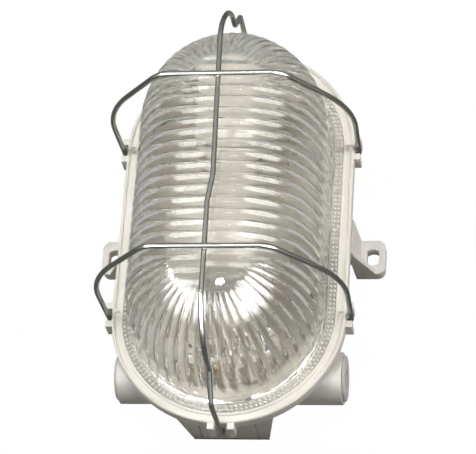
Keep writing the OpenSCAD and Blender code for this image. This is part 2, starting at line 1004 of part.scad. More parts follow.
module terminal_block() {
    waist = 3;
    color(terminal_colour)
        difference() {
            union() {
                translate([-terminal_w / 2, -block_y - terminal_l / 2, terminal_z])
                    cube([terminal_w, terminal_l, tube_z + tube_d / 2 - terminal_z]);
                for (i = [0 : poles - 1], side = [-1, 1]) {
                    translate([pole_x(i), side * clamp_spacing / 2 - block_y, terminal_z])
                        cylinder(h = terminal_h, d = pole_pitch - waist);
                }
            }
            for (i = [0 : poles - 1]) {
                along_y(pole_x(i), -block_y - terminal_l / 2 - cut, tube_z)
                    cylinder(h = terminal_l + 2 * cut, d = tube_d + loose);
                for (side = [-1, 1]) {
                    translate([pole_x(i), side * clamp_spacing / 2 - block_y, tube_z])
                        cylinder(h = terminal_h, d = clamp_d + 2 * loose);
                }
            }
            for (side = [-1, 1]) {
                translate([side * terminal_fix_x, -block_y, terminal_z - cut])
                    cylinder(h = terminal_h, d = terminal_fix_d + loose);
            }
        }
}

module terminal_tubes() {
    color(brass_colour)
        for (i = [0 : poles - 1]) {
            along_y(pole_x(i), -block_y - terminal_l / 2 + tube_short, tube_z)
                difference() {
                    cylinder(h = terminal_l - 2 * tube_short, d = tube_d);
                    translate([0, 0, -cut]) cylinder(h = terminal_l, d = tube_bore_d);
                }
        }
}

module terminal_screws() {
    color(steel_colour)
        for (i = [0 : poles - 1], side = [-1, 1]) {
            translate([pole_x(i), side * clamp_spacing / 2 - block_y, tube_z + tube_d / 2 + seat / 2]) {
                screw_l = terminal_h / 2 - tube_d / 2 - clamp_below;
                difference() {
                    cylinder(h = screw_l, d = clamp_d);
                    translate([0, 0, screw_l]) cube([clamp_d + cut, clamp_slot, 2 * clamp_slot], center = true);
                }
            }
        }
}

module terminal_block_screws() {
    color(steel_colour)
        for (side = [-1, 1]) {
            translate([side * terminal_fix_x, -block_y, tube_z + tube_d / 2])
                pan_screw(
                    terminal_fix_d,
                    tube_z + tube_d / 2 - terminal_z + terminal_post_h - cut,
                    terminal_fix_head_d,
                    screw_head_h
                );
        }
}

// Insulated lead from an outer pole, along the floor beside the bracket, up into the holder
module lead(side) {
    far = -block_y + terminal_l / 2;
    bent_wire(
        [
            [side * pole_pitch, far - terminal_l / 3, tube_z],
            [side * pole_pitch, far + lead_straight, tube_z],
            [side * lead_side, far + lead_run, lead_low],
            [side * lead_side, lead_hole_y - lead_turn, lead_low],
            [side * lead_hole_x, lead_hole_y, holder_under - lead_rise],
            [side * lead_hole_x, lead_hole_y, lead_end]
        ],
        [0, lead_bend, lead_bend, lead_bend, lead_bend, 0],
        lead_d,
        [1, 0, 0],
        lead_sides
    );
}

module live_lead() {
    color(sleeving_colour) lead(-1);
}

module neutral_lead() {
    color(sleeving_colour) lead(1);
}

base();
base_end();
base_back();
seal();
glass();
ring();
guard_long_wire();
guard_upper_cross_wire();
guard_lower_cross_wire();
left_cable_grommet();
right_cable_grommet();
lampholder_body();
lampholder_screw_shell();
lampholder_centre_contact();
lampholder_bracket();
bracket_screws();
lampholder_screws();
lamp();
terminal_block();
terminal_tubes();
terminal_screws();
terminal_block_screws();
live_lead();
neutral_lead();
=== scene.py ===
"""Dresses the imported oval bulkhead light: pressed glass, wire guard, mouldings, lamp and wiring."""

import math

import bmesh
import bpy
import numpy as np
from mathutils import Matrix, Vector


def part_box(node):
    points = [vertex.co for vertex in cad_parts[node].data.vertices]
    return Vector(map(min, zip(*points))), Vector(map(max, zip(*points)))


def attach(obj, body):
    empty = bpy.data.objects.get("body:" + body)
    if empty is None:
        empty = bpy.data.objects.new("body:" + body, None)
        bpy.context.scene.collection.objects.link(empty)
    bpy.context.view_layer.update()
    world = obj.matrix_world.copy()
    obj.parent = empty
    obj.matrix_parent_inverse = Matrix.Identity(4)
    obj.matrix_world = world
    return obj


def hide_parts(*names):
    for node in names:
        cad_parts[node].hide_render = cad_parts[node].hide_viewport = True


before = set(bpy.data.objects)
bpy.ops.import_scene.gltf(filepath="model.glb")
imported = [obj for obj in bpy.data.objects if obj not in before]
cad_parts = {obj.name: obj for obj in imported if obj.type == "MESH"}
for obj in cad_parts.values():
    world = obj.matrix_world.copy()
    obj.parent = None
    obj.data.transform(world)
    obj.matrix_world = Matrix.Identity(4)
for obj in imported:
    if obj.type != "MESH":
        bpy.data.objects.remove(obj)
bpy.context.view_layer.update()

bl_info = {
    "name": "Bulkhead Light",
    "version": (1, 0, 0),
    "blender": (4, 5, 0),
    "location": "View3D > Sidebar > Bulkhead",
    "description": "Builds the looks of an oval bulkhead light round its packed parts",
    "category": "Object",
}

MM = 0.001

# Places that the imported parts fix
glass_low, glass_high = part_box("glass")
_, long_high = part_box("guard_long_wire")
cross_low, cross_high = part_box("guard_upper_cross_wire")
lamp_low, lamp_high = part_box("lamp")
shell_low, shell_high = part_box("lampholder_screw_shell")

# Half length of the straight sides: every oval of this light has its end centres here
SPINE = glass_high.y - glass_high.x
LAMP_AXIS_Z = (lamp_low.z + lamp_high.z) / 2


def linear(hex_colour):
    """Linear RGBA of an sRGB hex value."""
    channels = [int(hex_colour[i:i + 2], 16) / 255 for i in (0, 2, 4)]
    return [c / 12.92 if c <= 0.04045 else ((c + 0.055) / 1.055) ** 2.4 for c in channels] + [1.0]


def length(name, description, millimetres):
    """Length property whose default is given in millimetres."""
    return bpy.props.FloatProperty(
        name=name, description=description, default=millimetres * MM, min=0.0, precision=5, unit="LENGTH"
    )


def tint(name, description, hex_colour):
    """Colour property whose default is given as an sRGB hex value."""
    return bpy.props.FloatVectorProperty(
        name=name, description=description, default=linear(hex_colour),
        size=4, min=0.0, max=1.0, subtype="COLOR"
    )


class BulkheadDome(bpy.types.PropertyGroup):
    """Sizes of the pressed glass"""

    foot_radius: length("Foot radius", "Half width of the dome where it meets its flange", 46.3)
    fullness: bpy.props.FloatProperty(
        name="Fullness", description="Squareness of the section, 2 for an ellipse",
        default=2.8, min=2.0, max=4.0
    )
    wall: length("Wall", "Thickness of the glass between the ribs", 3.0)
    rib_depth: length("Rib depth", "How far a rib stands into the dome", 0.7)
    sink: bpy.props.FloatProperty(
        name="Sink", description="Share of a rib's depth that the outer skin sinks over it",
        default=0.35, min=0.0, max=1.0
    )
    side_ribs: bpy.props.IntProperty(
        name="Side ribs", description="Ribs across one straight side", default=15, min=3
    )
    end_ribs: bpy.props.IntProperty(name="End ribs", description="Ribs round one end", default=24, min=3)
    foot_smooth: length("Smooth foot", "Height of the smooth glass under the points of the ribs", 5.0)
    foot_fade: length("Foot fade", "Height over which the ribs run out to those points", 12.0)
    pole_radius: length("Pole radius", "Radius round an end centre that the straight ribs cross", 19.0)
    pole_fade: length("Pole fade", "Distance over which an end's ribs run out to that circle", 10.0)
    flange_thickness: length("Flange thickness", "Thickness of the flange that the ring holds", 3.6)
    step_in: length("Step in", "Distance from the flange's edge to the raised band", 3.2)
    step_up: length("Step up", "Height of the raised band over the flange", 2.1)
    bead: length("Foot bead", "Radius of the small bead round the dome's foot", 0.7)
    knurl_pitch: length("Knurl pitch", "Spacing of the pressed dots on the band", 2.3)
    knurl_dot: length("Knurl dot", "Radius of one pressed dot", 0.85)


class BulkheadGuard(bpy.types.PropertyGroup):
    """Sizes of the wire guard"""

    wire: length("Wire", "Diameter of the wire", 2.5)
    hook_tip: length("Hook tip", "Half width between the tips of the hooks under the ring", 54.2)
    hook_bend: length("Hook bend", "Bend radius of a hook", 2.6)
    foot: length("Foot", "Half width of a cross wire at its hooks", 57.8)
    shoulder: length("Shoulder", "Half width of a cross wire at its shoulders, before they are bent", 59.0)
    flat: length("Flat", "Straight length across the top of a cross wire", 57.0)
    top_bend: length("Top bend", "Bend radius at the ends of that straight", 12.0)
    shoulder_drop: length("Shoulder drop", "Drop from the top of a cross wire to its shoulder", 34.0)
    shoulder_bend: length("Shoulder bend", "Bend radius of a shoulder", 45.0)
    step_in: length("Step in", "How far the long wire steps in over the dome's ends", 13.0)
    step_drop: length("Step drop", "Drop from the long wire's crown to the top of that step", 29.4)
    step_height: length("Step height", "Height of that step", 12.5)
    step_bend: length("Step bend", "Bend radius at both ends of that step", 4.0)
    fall_drop: length("Fall drop", "Drop of the long wire's crown at its ends", 11.4)
    fall_run: length("Fall run", "Length of the falling ends of the crown", 18.0)
    fall_bend: length("Fall bend", "Bend radius at both ends of that fall", 24.0)
    kink: length("Kink", "Sideways set of the long wire near its middle", 1.4)
    kink_place: length("Kink place", "Distance of the kink below the middle", 7.0)
    kink_run: length("Kink run", "Length of the kink", 14.0)
    kink_bend: length("Kink bend", "Bend radius of the kink", 12.0)
    weld: length("Weld", "Radius of a weld nugget where two wires cross", 1.7)


class BulkheadLamp(bpy.types.PropertyGroup):
    """Sizes of the lamp and of its screw cap"""

    bulb: length("Bulb", "Diameter of the bulb", 60.0)
    cap: length("Cap", "Diameter of the screw cap over its thread", 26.0)
    cap_length: length("Cap length", "Length of the screw cap", 27.0)
    collar: length("Collar", "Length of the plain collar of the cap", 5.0)
    neck: length("Neck", "Length of the straight neck over the cap", 3.0)
    tip: length("Tip", "Radius of the contact tip", 5.0)
    tip_cone: length("Tip cone", "Length of the cone from the thread to the tip", 5.0)
    thread_pitch: length("Thread pitch", "Pitch of the round screw thread", 3.63)
    thread_depth: length("Thread depth", "Depth of the round screw thread", 0.9)
    shell_wall: length("Shell wall", "Wall of the holder's brass screw shell", 0.6)
    shell_thread: length("Shell thread", "Depth of the thread in the brass screw shell", 0.3)


class BulkheadFinish(bpy.types.PropertyGroup):
    """Colours of the finishes"""

    base: tint("Base", "Moulded plastic of the base", "e8e4dd")
    ring: tint("Ring", "Moulded plastic of the ring", "f0ede4")
    glass: tint("Glass", "Body tint of the pressed glass", "f6f7f3")
    wire: tint("Wire", "Zinc plating of the guard wire", "969893")
    rubber: tint("Grommet", "Rubber of the cable grommets", "c4c1bb")
    seal: tint("Seal", "Foam rubber of the seal", "d8d6cf")
    porcelain: tint("Porcelain", "Glaze of the lampholder", "dedad2")
    brass: tint("Brass", "Pressed brass of the contacts", "c9a24c")
    steel: tint("Steel", "Zinc plating of the bracket and the screws", "b4b8bc")
    opal: tint("Opal", "Opal glass of the bulb", "d6d2ca")
    cap: tint("Cap", "Aluminium of the lamp's cap", "c9c9c6")
    terminal: tint("Terminal", "Plastic of the terminal block", "e6e2d6")
    sleeving: tint("Sleeving", "Heat-resistant sleeving of the two leads", "e2ddd0")


class BulkheadSettings(bpy.types.PropertyGroup):
    """All that a user would change on the light"""

    dome: bpy.props.PointerProperty(type=BulkheadDome)
    guard: bpy.props.PointerProperty(type=BulkheadGuard)
    lamp: bpy.props.PointerProperty(type=BulkheadLamp)
    finish: bpy.props.PointerProperty(type=BulkheadFinish)


def add(tree, kind, inputs=None, **settings):
    """Add one node with its settings; each input is a constant or the socket that feeds it."""
    node = tree.nodes.new(kind)
    for name, value in settings.items():
        setattr(node, name, value)
    for key, value in (inputs or {}).items():
        if isinstance(value, bpy.types.NodeSocket):
            tree.links.new(value, node.inputs[key])
        else:
            node.inputs[key].default_value = value
    return node


def per_mm(size):
    """Texture scale whose features are about that many millimetres wide."""
    return 1 / (size * MM)


def start_material(name):
    """New node material with nothing in it yet, and its Object coordinates."""
    made = bpy.data.materials.new(name)
    made.use_nodes = True
    made.node_tree.nodes.clear()
    place = add(made.node_tree, "ShaderNodeTexCoord").outputs["Object"]
    return made, made.node_tree, place


def shaded(tree, colour, fac, depth):
    """Colour socket that drifts between the colour and the same a little darker."""
    dark = [c * (1 - depth) for c in colour[:3]] + [1.0]
    return add(tree, "ShaderNodeMix", {0: fac, 6: list(colour), 7: dark}, data_type="RGBA").outputs[2]


def spread(tree, fac, low, high):
    """Socket that follows a 0 to 1 pattern between two values."""
    return add(tree, "ShaderNodeMapRange", {"Value": fac, "To Min": low, "To Max": high}).outputs["Result"]


def moulded_plastic(name, colour, roughness, grain):
    """Injection-moulded ABS: even colour with faint flow marks, a soft sheen and a fine mould grain."""
    made, tree, place = start_material(name)
    # Flow marks of about 30 mm
    flow = add(tree, "ShaderNodeTexNoise", {"Vector": place, "Scale": per_mm(30), "Detail": 2.0}).outputs[0]
    # Mould grain of about 0.2 mm, drawn at 0.7 mm so that it shows
    grit = add(tree, "ShaderNodeTexNoise", {"Vector": place, "Scale": per_mm(0.7), "Detail": 3.0}).outputs[0]
    relief = add(tree, "ShaderNodeBump", {"Height": grit, "Strength": grain, "Distance": 0.1 * MM}).outputs[0]
    shader = add(tree, "ShaderNodeBsdfPrincipled", {
        "Base Color": shaded(tree, colour, flow, 0.06),
        "Roughness": spread(tree, grit, roughness - 0.06, roughness + 0.06),
        "IOR": 1.53,
        "Specular IOR Level": 0.3,
        "Normal": relief,
    })
    add(tree, "ShaderNodeOutputMaterial", {"Surface": shader.outputs[0]})
    return made


def undimmed(tree, path):
    """1 on a path that no matt surface has scattered, else 0: for what shows in gloss and through glass."""
    scattered = path.outputs["Diffuse Depth"]
    return add(tree, "ShaderNodeMath", {0: scattered, 1: 0.5}, operation="LESS_THAN").outputs[0]


def pressed_glass(colour):
    """Pressed soda-lime glass: clear, with the wavy skin that the mould leaves; lamps shine through it."""
    made, tree, place = start_material("pressed_soda_lime_glass")
    # Chill waves of about 7 mm
    wave = add(tree, "ShaderNodeTexNoise", {"Vector": place, "Scale": per_mm(7), "Detail": 1.0}).outputs[0]
    relief = add(tree, "ShaderNodeBump", {"Height": wave, "Strength": 0.3, "Distance": 0.5 * MM}).outputs[0]
    shader = add(tree, "ShaderNodeBsdfPrincipled", {
        "Base Color": list(colour),
        "Roughness": 0.03,
        "IOR": 1.52,
        "Transmission Weight": 1.0,
        "Normal": relief,
    })
    # Light that reaches the inside: the ribs throw a part of it back at each skin
    passed = (0.80, 0.78, 0.76, 1.0)
    clear = add(tree, "ShaderNodeBsdfTransparent", {"Color": passed})
    path = add(tree, "ShaderNodeLightPath")
    mix = add(tree, "ShaderNodeMixShader", {
        0: path.outputs["Is Shadow Ray"],
        1: shader.outputs[0],
        2: clear.outputs[0],
    })
    add(tree, "ShaderNodeOutputMaterial", {"Surface": mix.outputs[0]})
    return made


def dot_glass_painted_glint(colour):
    """Glass of the pressed dots: a slightly matt mould skin, and a mostly opaque milky body that paints in
    the glints that clear dots get by focusing light.
    """
    made, tree, place = start_material("pressed_dot_glass_painted_glint")
    # Mould skin of about 0.4 mm
    skin = add(tree, "ShaderNodeTexNoise", {"Vector": place, "Scale": per_mm(0.4), "Detail": 2.0}).outputs[0]
    shader = add(tree, "ShaderNodeBsdfPrincipled", {
        "Base Color": list(colour),
        "Roughness": spread(tree, skin, 0.15, 0.3),
        "IOR": 1.52,
        # Little transmission leaves the dots milky white: painted glints, brighter than the clear glass of
        # the real dots
        "Transmission Weight": 0.15,
    })
    add(tree, "ShaderNodeOutputMaterial", {"Surface": shader.outputs[0]})
    return made


def plated_metal(name, colour, roughness, mottle_mm):
    """Zinc, brass or aluminium skin on worked metal: bright, with cloudy patches and fine drawing marks."""
    made, tree, place = start_material(name)
    cloud = add(tree, "ShaderNodeTexNoise", {
        "Vector": place, "Scale": per_mm(mottle_mm), "Detail": 3.0,
    }).outputs[0]
    # Handling marks of about 0.1 mm, drawn at 0.5 mm so that they show
    marks = add(tree, "ShaderNodeTexNoise", {"Vector": place, "Scale": per_mm(0.5), "Detail": 2.0}).outputs[0]
    relief = add(tree, "ShaderNodeBump", {
        "Height": marks, "Strength": 0.08, "Distance": 0.05 * MM,
    }).outputs[0]
    shader = add(tree, "ShaderNodeBsdfPrincipled", {
        "Base Color": shaded(tree, colour, cloud, 0.25),
        "Metallic": 1.0,
        "Roughness": spread(tree, cloud, roughness - 0.06, roughness + 0.1),
        "Normal": relief,
    })
    add(tree, "ShaderNodeOutputMaterial", {"Surface": shader.outputs[0]})
    return made


def soft_rubber(name, colour, pore_mm, depth):
    """Moulded or foamed rubber: dull, with small pores and no clear highlight."""
    made, tree, place = start_material(name)
    pores = add(tree, "ShaderNodeTexNoise", {
        "Vector": place, "Scale": per_mm(pore_mm), "Detail": 3.0,
    }).outputs[0]
    relief = add(tree, "ShaderNodeBump", {
        "Height": pores, "Strength": depth, "Distance": 0.2 * MM,
    }).outputs[0]
    shader = add(tree, "ShaderNodeBsdfPrincipled", {
        "Base Color": shaded(tree, colour, pores, 0.15),
        "Roughness": spread(tree, pores, 0.65, 0.85),
        "Normal": relief,
    })
    add(tree, "ShaderNodeOutputMaterial", {"Surface": shader.outputs[0]})
    return made


def glazed(name, colour, roughness):
    """Glazed porcelain or opal glass: smooth and glossy over its body, with faint unevenness in the gloss."""
    made, tree, place = start_material(name)
    # Glaze ripples of about 4 mm
    ripple = add(tree, "ShaderNodeTexNoise", {"Vector": place, "Scale": per_mm(4), "Detail": 2.0}).outputs[0]
    relief = add(tree, "ShaderNodeBump", {
        "Height": ripple, "Strength": 0.05, "Distance": 0.2 * MM,
    }).outputs[0]
    shader = add(tree, "ShaderNodeBsdfPrincipled", {
        "Base Color": shaded(tree, colour, ripple, 0.05),
        "Roughness": spread(tree, ripple, roughness, roughness + 0.08),
        "IOR": 1.5,
        "Normal": relief,
    })
    add(tree, "ShaderNodeOutputMaterial", {"Surface": shader.outputs[0]})
    return made


def new_piece(name, mesh, body, material=None, replaced=()):
    """Object for a finished mesh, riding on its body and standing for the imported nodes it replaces."""
    piece = bpy.data.objects.new(name, mesh)
    bpy.context.scene.collection.objects.link(piece)
    if material:
        mesh.materials.clear()
        mesh.materials.append(material)
    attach(piece, body)
    if replaced:
        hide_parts(*replaced)
    return piece


def cad_copy(nodes, bevel=0.0, smooth=35.0, seam=None):
    """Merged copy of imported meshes, their sharp edges rounded by the bevel, shaded smooth below an angle.

    Where one moulding is packed as several nodes, the faces between them are left out: the upright ones
    below the seam's floor height, and those on the seam's line across the light.
    """
    merge = 0.002 * MM
    seam_merge = 0.02 * MM
    slack = 0.01 * MM
    mesh = bpy.data.meshes.new(nodes[0] + "_copy")
    work = bmesh.new()
    for node in nodes:
        work.from_mesh(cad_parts[node].data)
    bmesh.ops.remove_doubles(work, verts=work.verts, dist=merge)
    if seam:
        floor, line = seam
        between = [
            face for face in work.faces
            if abs(face.normal.z) < 0.01 and all(vert.co.z < floor + slack for vert in face.verts)
            or abs(face.normal.y) > 0.999 and all(abs(vert.co.y - line) < slack for vert in face.verts)
        ]
        bmesh.ops.delete(work, geom=between, context="FACES")
        bmesh.ops.remove_doubles(work, verts=work.verts, dist=seam_merge)
    bmesh.ops.dissolve_limit(work, angle_limit=math.radians(0.5), verts=work.verts, edges=work.edges)
    if bevel:
        sharp = [e for e in work.edges if e.is_manifold and e.calc_face_angle(0.0) > math.radians(smooth)]
        bmesh.ops.bevel(
            work, geom=sharp, offset=bevel, offset_type="OFFSET", segments=2, profile=0.5,
            affect="EDGES", clamp_overlap=True
        )
    bmesh.ops.triangulate(work, faces=work.faces)
    work.to_mesh(mesh)
    work.free()
    mesh.materials.clear()
    mesh.shade_smooth()
    mesh.set_sharp_from_angle(angle=math.radians(smooth))
    return mesh


def turned(name, profile, axis_z, segments):
    """Mesh turned about the lamp axis from (radius, y) points; a radius may be a function of the turn."""
    turns = np.linspace(0, 2 * math.pi, segments, endpoint=False)
    rows = [[(r(a) if callable(r) else r) for a in turns] for r, _ in profile]
    points = [
        (r * math.cos(a), y, axis_z + r * math.sin(a))
        for row, (_, y) in zip(rows, profile) for r, a in zip(row, turns)
    ]
    faces = [
        (i * segments + j, (i + 1) * segments + j, (i + 1) * segments + (j + 1) % segments,
         i * segments + (j + 1) % segments)
        for i in range(len(profile) - 1) for j in range(segments)
    ]
    mesh = bpy.data.meshes.new(name)
    mesh.from_pydata(points, [], faces)
    work = bmesh.new()
    work.from_mesh(mesh)
    bmesh.ops.remove_doubles(work, verts=work.verts, dist=0.002 * MM)
    bmesh.ops.recalc_face_normals(work, faces=work.faces)
    work.to_mesh(mesh)
    work.free()
    mesh.shade_smooth()
    mesh.set_sharp_from_angle(angle=math.radians(40))
    return mesh


def node_tree(name, sockets):
    """Geometry node tree with a geometry in and out and the given named inputs, and its input node."""
    tree = bpy.data.node_groups.new(name, "GeometryNodeTree")
    tree.interface.new_socket("Geometry", in_out="OUTPUT", socket_type="NodeSocketGeometry")
    tree.interface.new_socket("Geometry", in_out="INPUT", socket_type="NodeSocketGeometry")
    for label, kind in sockets.items():
        tree.interface.new_socket(label, in_out="INPUT", socket_type=kind)
    return tree, add(tree, "NodeGroupInput")


def end_tree(tree, geometry, material):
    """Close a tree: smooth shading, real instances and the material."""
    smooth = add(tree, "GeometryNodeSetShadeSmooth", {0: geometry}).outputs[0]
    real = add(tree, "GeometryNodeRealizeInstances", {0: smooth}).outputs[0]
    painted = add(tree, "GeometryNodeSetMaterial", {"Geometry": real, "Material": material}).outputs[0]
    add(tree, "NodeGroupOutput", {0: painted})


def grown(mesh, tree, values):
    """Plain mesh that the tree makes of a mesh, with its named inputs set."""
    carrier = bpy.data.objects.new(tree.name, mesh)
    modifier = carrier.modifiers.new(tree.name, "NODES")
    modifier.node_group = tree
    for item in tree.interface.items_tree:
        if item.in_out == "INPUT" and item.name in values:
            modifier[item.identifier] = values[item.name]
    bpy.context.scene.collection.objects.link(carrier)
    shown = carrier.evaluated_get(bpy.context.evaluated_depsgraph_get())
    made = bpy.data.meshes.new_from_object(shown)
    bpy.data.objects.remove(carrier)
    return made


def line_mesh(name, lines):
    """Mesh of edges only, one chain for each (points, closed) pair."""
    points, edges = [], []
    for chain, closed in lines:
        first = len(points)
        points += [tuple(p) for p in chain]
        edges += [(first + i, first + i + 1) for i in range(len(chain) - 1)]
        if closed:
            edges.append((first + len(chain) - 1, first))
    mesh = bpy.data.meshes.new(name)
    mesh.from_pydata(points, edges, [])
    return mesh


def bent_path(corners, bends, step=5.0):
    """Points along a wire that runs straight between corners and turns at each with that bend's radius."""
    corners = [Vector(c) for c in corners]
    path = [corners[0]]
    for before, corner, after, bend in zip(corners, corners[1:], corners[2:], bends):
        come = (corner - before).normalized()
        go = (after - corner).normalized()
        angle = come.angle(go)
        inward = come.cross(go).normalized().cross(come)
        centre = corner - come * bend * math.tan(angle / 2) + inward * bend
        count = max(2, math.ceil(math.degrees(angle) / step))
        for k in range(count + 1):
            a = angle * k / count
            path.append(centre + bend * (come * math.sin(a) - inward * math.cos(a)))
    path.append(corners[-1])
    return path


def oval_stations(side_steps, end_steps):
    """Stations round the oval: place on the spine, heading, step, on a side or not, crown index."""
    side = np.arange(side_steps)
    end = np.arange(end_steps)
    along = -SPINE + 2 * SPINE * side / side_steps
    turn = math.pi * end / end_steps
    place = np.concatenate([along, np.full(end_steps, SPINE), -along, np.full(end_steps, -SPINE)])
    heading = np.concatenate([np.zeros(side_steps), turn, np.full(side_steps, math.pi), math.pi + turn])
    step = np.concatenate([side, end, side, end])
    straight = np.concatenate([np.ones(side_steps), np.zeros(end_steps)] * 2)
    crown = np.concatenate([
        side, np.full(end_steps, side_steps), side_steps - side, np.zeros(end_steps, int)
    ])
    return place, heading, step, straight, crown


class BULKHEAD_OT_dome(bpy.types.Operator):
    """Sweep the dome's section round the oval and raise the moulded ribs on its inside"""

    bl_idname = "bulkhead.dome"
    bl_label = "Glass dome"

    def execute(self, context):
        size = context.scene.bulkhead.dome
        glass = pressed_glass(context.scene.bulkhead.finish.glass)
        per_rib = 8
        outer_rows = 34
        inner_rows = 72
        place, heading, step, straight, crown = oval_stations(
            size.side_ribs * per_rib, size.end_ribs * per_rib
        )
        count = len(place)
        flange_r = glass_high.x
        flange_low = glass_low.z
        flange_top = flange_low + size.flange_thickness
        band_r = flange_r - size.step_in
        band_z = flange_top + size.step_up
        height = glass_high.z - band_z
        inner_r = size.foot_radius - size.wall
        soft = 0.4 * MM

        def wall_rows(radius, rise, rows):
            # Fine steps along the superellipse first, then rows at even distances along it
            power = 2 / size.fullness
            fine = np.linspace(0, math.pi / 2, 40 * rows)
            r = radius * np.cos(fine) ** power
            z = rise * np.sin(fine) ** power
            run = np.concatenate([[0], np.cumsum(np.hypot(np.diff(r), np.diff(z)))])
            angles = np.interp(np.linspace(0, run[-1], rows, endpoint=False), run, fine)
            r = radius * np.cos(angles) ** power
            z = band_z + rise * np.sin(angles) ** power
            return [(a, b, math.cos(t), math.sin(t)) for a, b, t in zip(r, z, angles)]

        # The foot bead is a quarter round between the band and the dome
        bead = [
            (size.foot_radius + size.bead * (1 - math.sin(a)), band_z + size.bead * (1 - math.cos(a)), 0, 0)
            for a in np.linspace(0.15, math.pi / 2 - 0.15, 4)
        ]
        outer = [
            (flange_r - soft, flange_low, 0, 0),
            (flange_r, flange_low + soft, 0, 0),
            (flange_r, flange_top - soft, 0, 0),
            (flange_r - soft, flange_top, 0, 0),
            (band_r, flange_top, 0, 0),
            (band_r, band_z - soft, 0, 0),
            (band_r - soft, band_z, 0, 0),
            (size.foot_radius + size.bead, band_z, 0, 0),
        ]
        # The lowest rows of the wall make room for the bead
        bead_rows = 2
        outer += bead + wall_rows(size.foot_radius, height, outer_rows)[bead_rows:]
        inner = [(inner_r, flange_low, 0, 0)] + wall_rows(inner_r, height - size.wall, inner_rows)
        rows = outer + inner
        radius = np.array([row[0] for row in rows])[:, None]
        level = np.array([row[1] for row in rows])[:, None]
        points = np.stack(np.broadcast_arrays(
            radius * np.cos(heading), place + radius * np.sin(heading), level
        ), -1).reshape(-1, 3)

        # A rib runs out to a point at the foot; round the ends it starts at a circle that the straight ribs
        # cross, and there both kinds overlap a little
        overlap = 0.2
        end_share = np.clip((radius - size.pole_radius) / size.pole_fade + overlap, 0, 1)
        share = np.clip((level - band_z - size.foot_smooth) / size.foot_fade, 0, 1)
        share = share * np.maximum(straight, end_share)
        pole_fade = size.pole_fade / 2
        pole_share = (1 - straight) * np.clip((size.pole_radius - radius) / pole_fade + overlap, 0, 1)
        pitch = 2 * SPINE / size.side_ribs
        pole_phase = radius * np.abs(np.sin(heading)) / pitch
        lean = np.array([row[2] for row in rows])[:, None]
        drop = np.array([row[3] for row in rows])[:, None]
        way = np.stack(np.broadcast_arrays(
            -lean * np.cos(heading), -lean * np.sin(heading), -drop
        ), -1).reshape(-1, 3)
        # The outer skin sinks a little over each rib, as pressed glass does when it cools
        way[:len(outer) * count] *= size.sink
        phase = np.broadcast_to(step / per_rib, share.shape).reshape(-1)
        share = share.reshape(-1)
        pole_phase = pole_phase.reshape(-1)
        pole_share = pole_share.reshape(-1)

        crest = np.arange(size.side_ribs * per_rib + 1)
        crown_y = -SPINE + 2 * SPINE * crest / crest[-1]
        tops = [
            np.stack([0 * crown_y, crown_y, 0 * crown_y + z], -1)
            for z in (glass_high.z, glass_high.z - size.wall)
        ]
        first_top = [len(points), len(points) + len(crest)]
        points = np.concatenate([points] + tops)
        phase = np.concatenate([phase, crest / per_rib, crest / per_rib])
        share = np.concatenate([share, 0 * crown_y + 1, 0 * crown_y + 1])
        pole_phase = np.concatenate([pole_phase, crest * 0, crest * 0])
        pole_share = np.concatenate([pole_share, crest * 0, crest * 0])
        crest_way = [np.tile((0, 0, -depth), (len(crest), 1)) for depth in (size.sink, 1.0)]
        way = np.concatenate([way] + crest_way)

        faces = []

        def skin(start, last, top, inside):
            for i in range(start, last + 1):
                for j in range(count):
                    k = (j + 1) % count
                    a, b = i * count + j, i * count + k
                    c, d = (b + count, a + count) if i < last else (top + crown[k], top + crown[j])
                    loop = [a, b, c, d] if c != d else [a, b, c]
                    faces.append(loop[::-1] if inside else loop)

        skin(0, len(outer) - 1, first_top[0], False)
        skin(len(outer), len(rows) - 1, first_top[1], True)
        under = len(outer) * count
        faces += [(j, under + j, under + (j + 1) % count, (j + 1) % count) for j in range(count)]
        mesh = bpy.data.meshes.new("glass_dome")
        mesh.from_pydata(points.tolist(), [], [[int(v) for v in f] for f in faces])
        for name, values in (
            ("rib_phase", phase),
            ("rib_share", share),
            ("pole_phase", pole_phase),
            ("pole_share", pole_share),
        ):
            mesh.attributes.new(name, "FLOAT", "POINT").data.foreach_set("value", values.astype(np.float32))
        mesh.attributes.new("rib_way", "FLOAT_VECTOR", "POINT").data.foreach_set(
            "vector", way.astype(np.float32).ravel()
        )

        tree, given = node_tree("moulded_ribs", {
            "Rib depth": "NodeSocketFloat", "Material": "NodeSocketMaterial",
        })

        def stored(name, kind="FLOAT"):
            return add(tree, "GeometryNodeInputNamedAttribute", {"Name": name}, data_type=kind).outputs[0]

        def rib_height(turn, fade):
            # A round-backed rib between sharp valleys: the size of a sine, cut from below where it fades
            half_turn = add(tree, "ShaderNodeMath", {0: turn, 1: math.pi}, operation="MULTIPLY").outputs[0]
            wave = add(tree, "ShaderNodeMath", {0: half_turn}, operation="SINE").outputs[0]
            back = add(tree, "ShaderNodeMath", {0: wave}, operation="ABSOLUTE").outputs[0]
            raised = add(tree, "ShaderNodeMath", {0: back, 1: fade}, operation="ADD").outputs[0]
            cut = add(tree, "ShaderNodeMath", {0: raised, 1: 1.0}, operation="SUBTRACT").outputs[0]
            return add(tree, "ShaderNodeMath", {0: cut, 1: 0.0}, operation="MAXIMUM").outputs[0]

        over = rib_height(stored("rib_phase"), stored("rib_share"))
        across = rib_height(stored("pole_phase"), stored("pole_share"))
        kept = add(tree, "ShaderNodeMath", {0: over, 1: across}, operation="MAXIMUM").outputs[0]
        depth = given.outputs["Rib depth"]
        rise = add(tree, "ShaderNodeMath", {0: kept, 1: depth}, operation="MULTIPLY").outputs[0]
        inward = stored("rib_way", "FLOAT_VECTOR")
        push = add(tree, "ShaderNodeVectorMath", {0: inward, "Scale": rise}, operation="SCALE").outputs[0]
        moved = add(tree, "GeometryNodeSetPosition", {
            "Geometry": given.outputs[0], "Offset": push,
        }).outputs[0]
        end_tree(tree, moved, given.outputs["Material"])

        made = grown(mesh, tree, {"Rib depth": size.rib_depth, "Material": glass})
        made.set_sharp_from_angle(angle=math.radians(38))
        new_piece("glass_dome", made, "cover", replaced=["glass"])

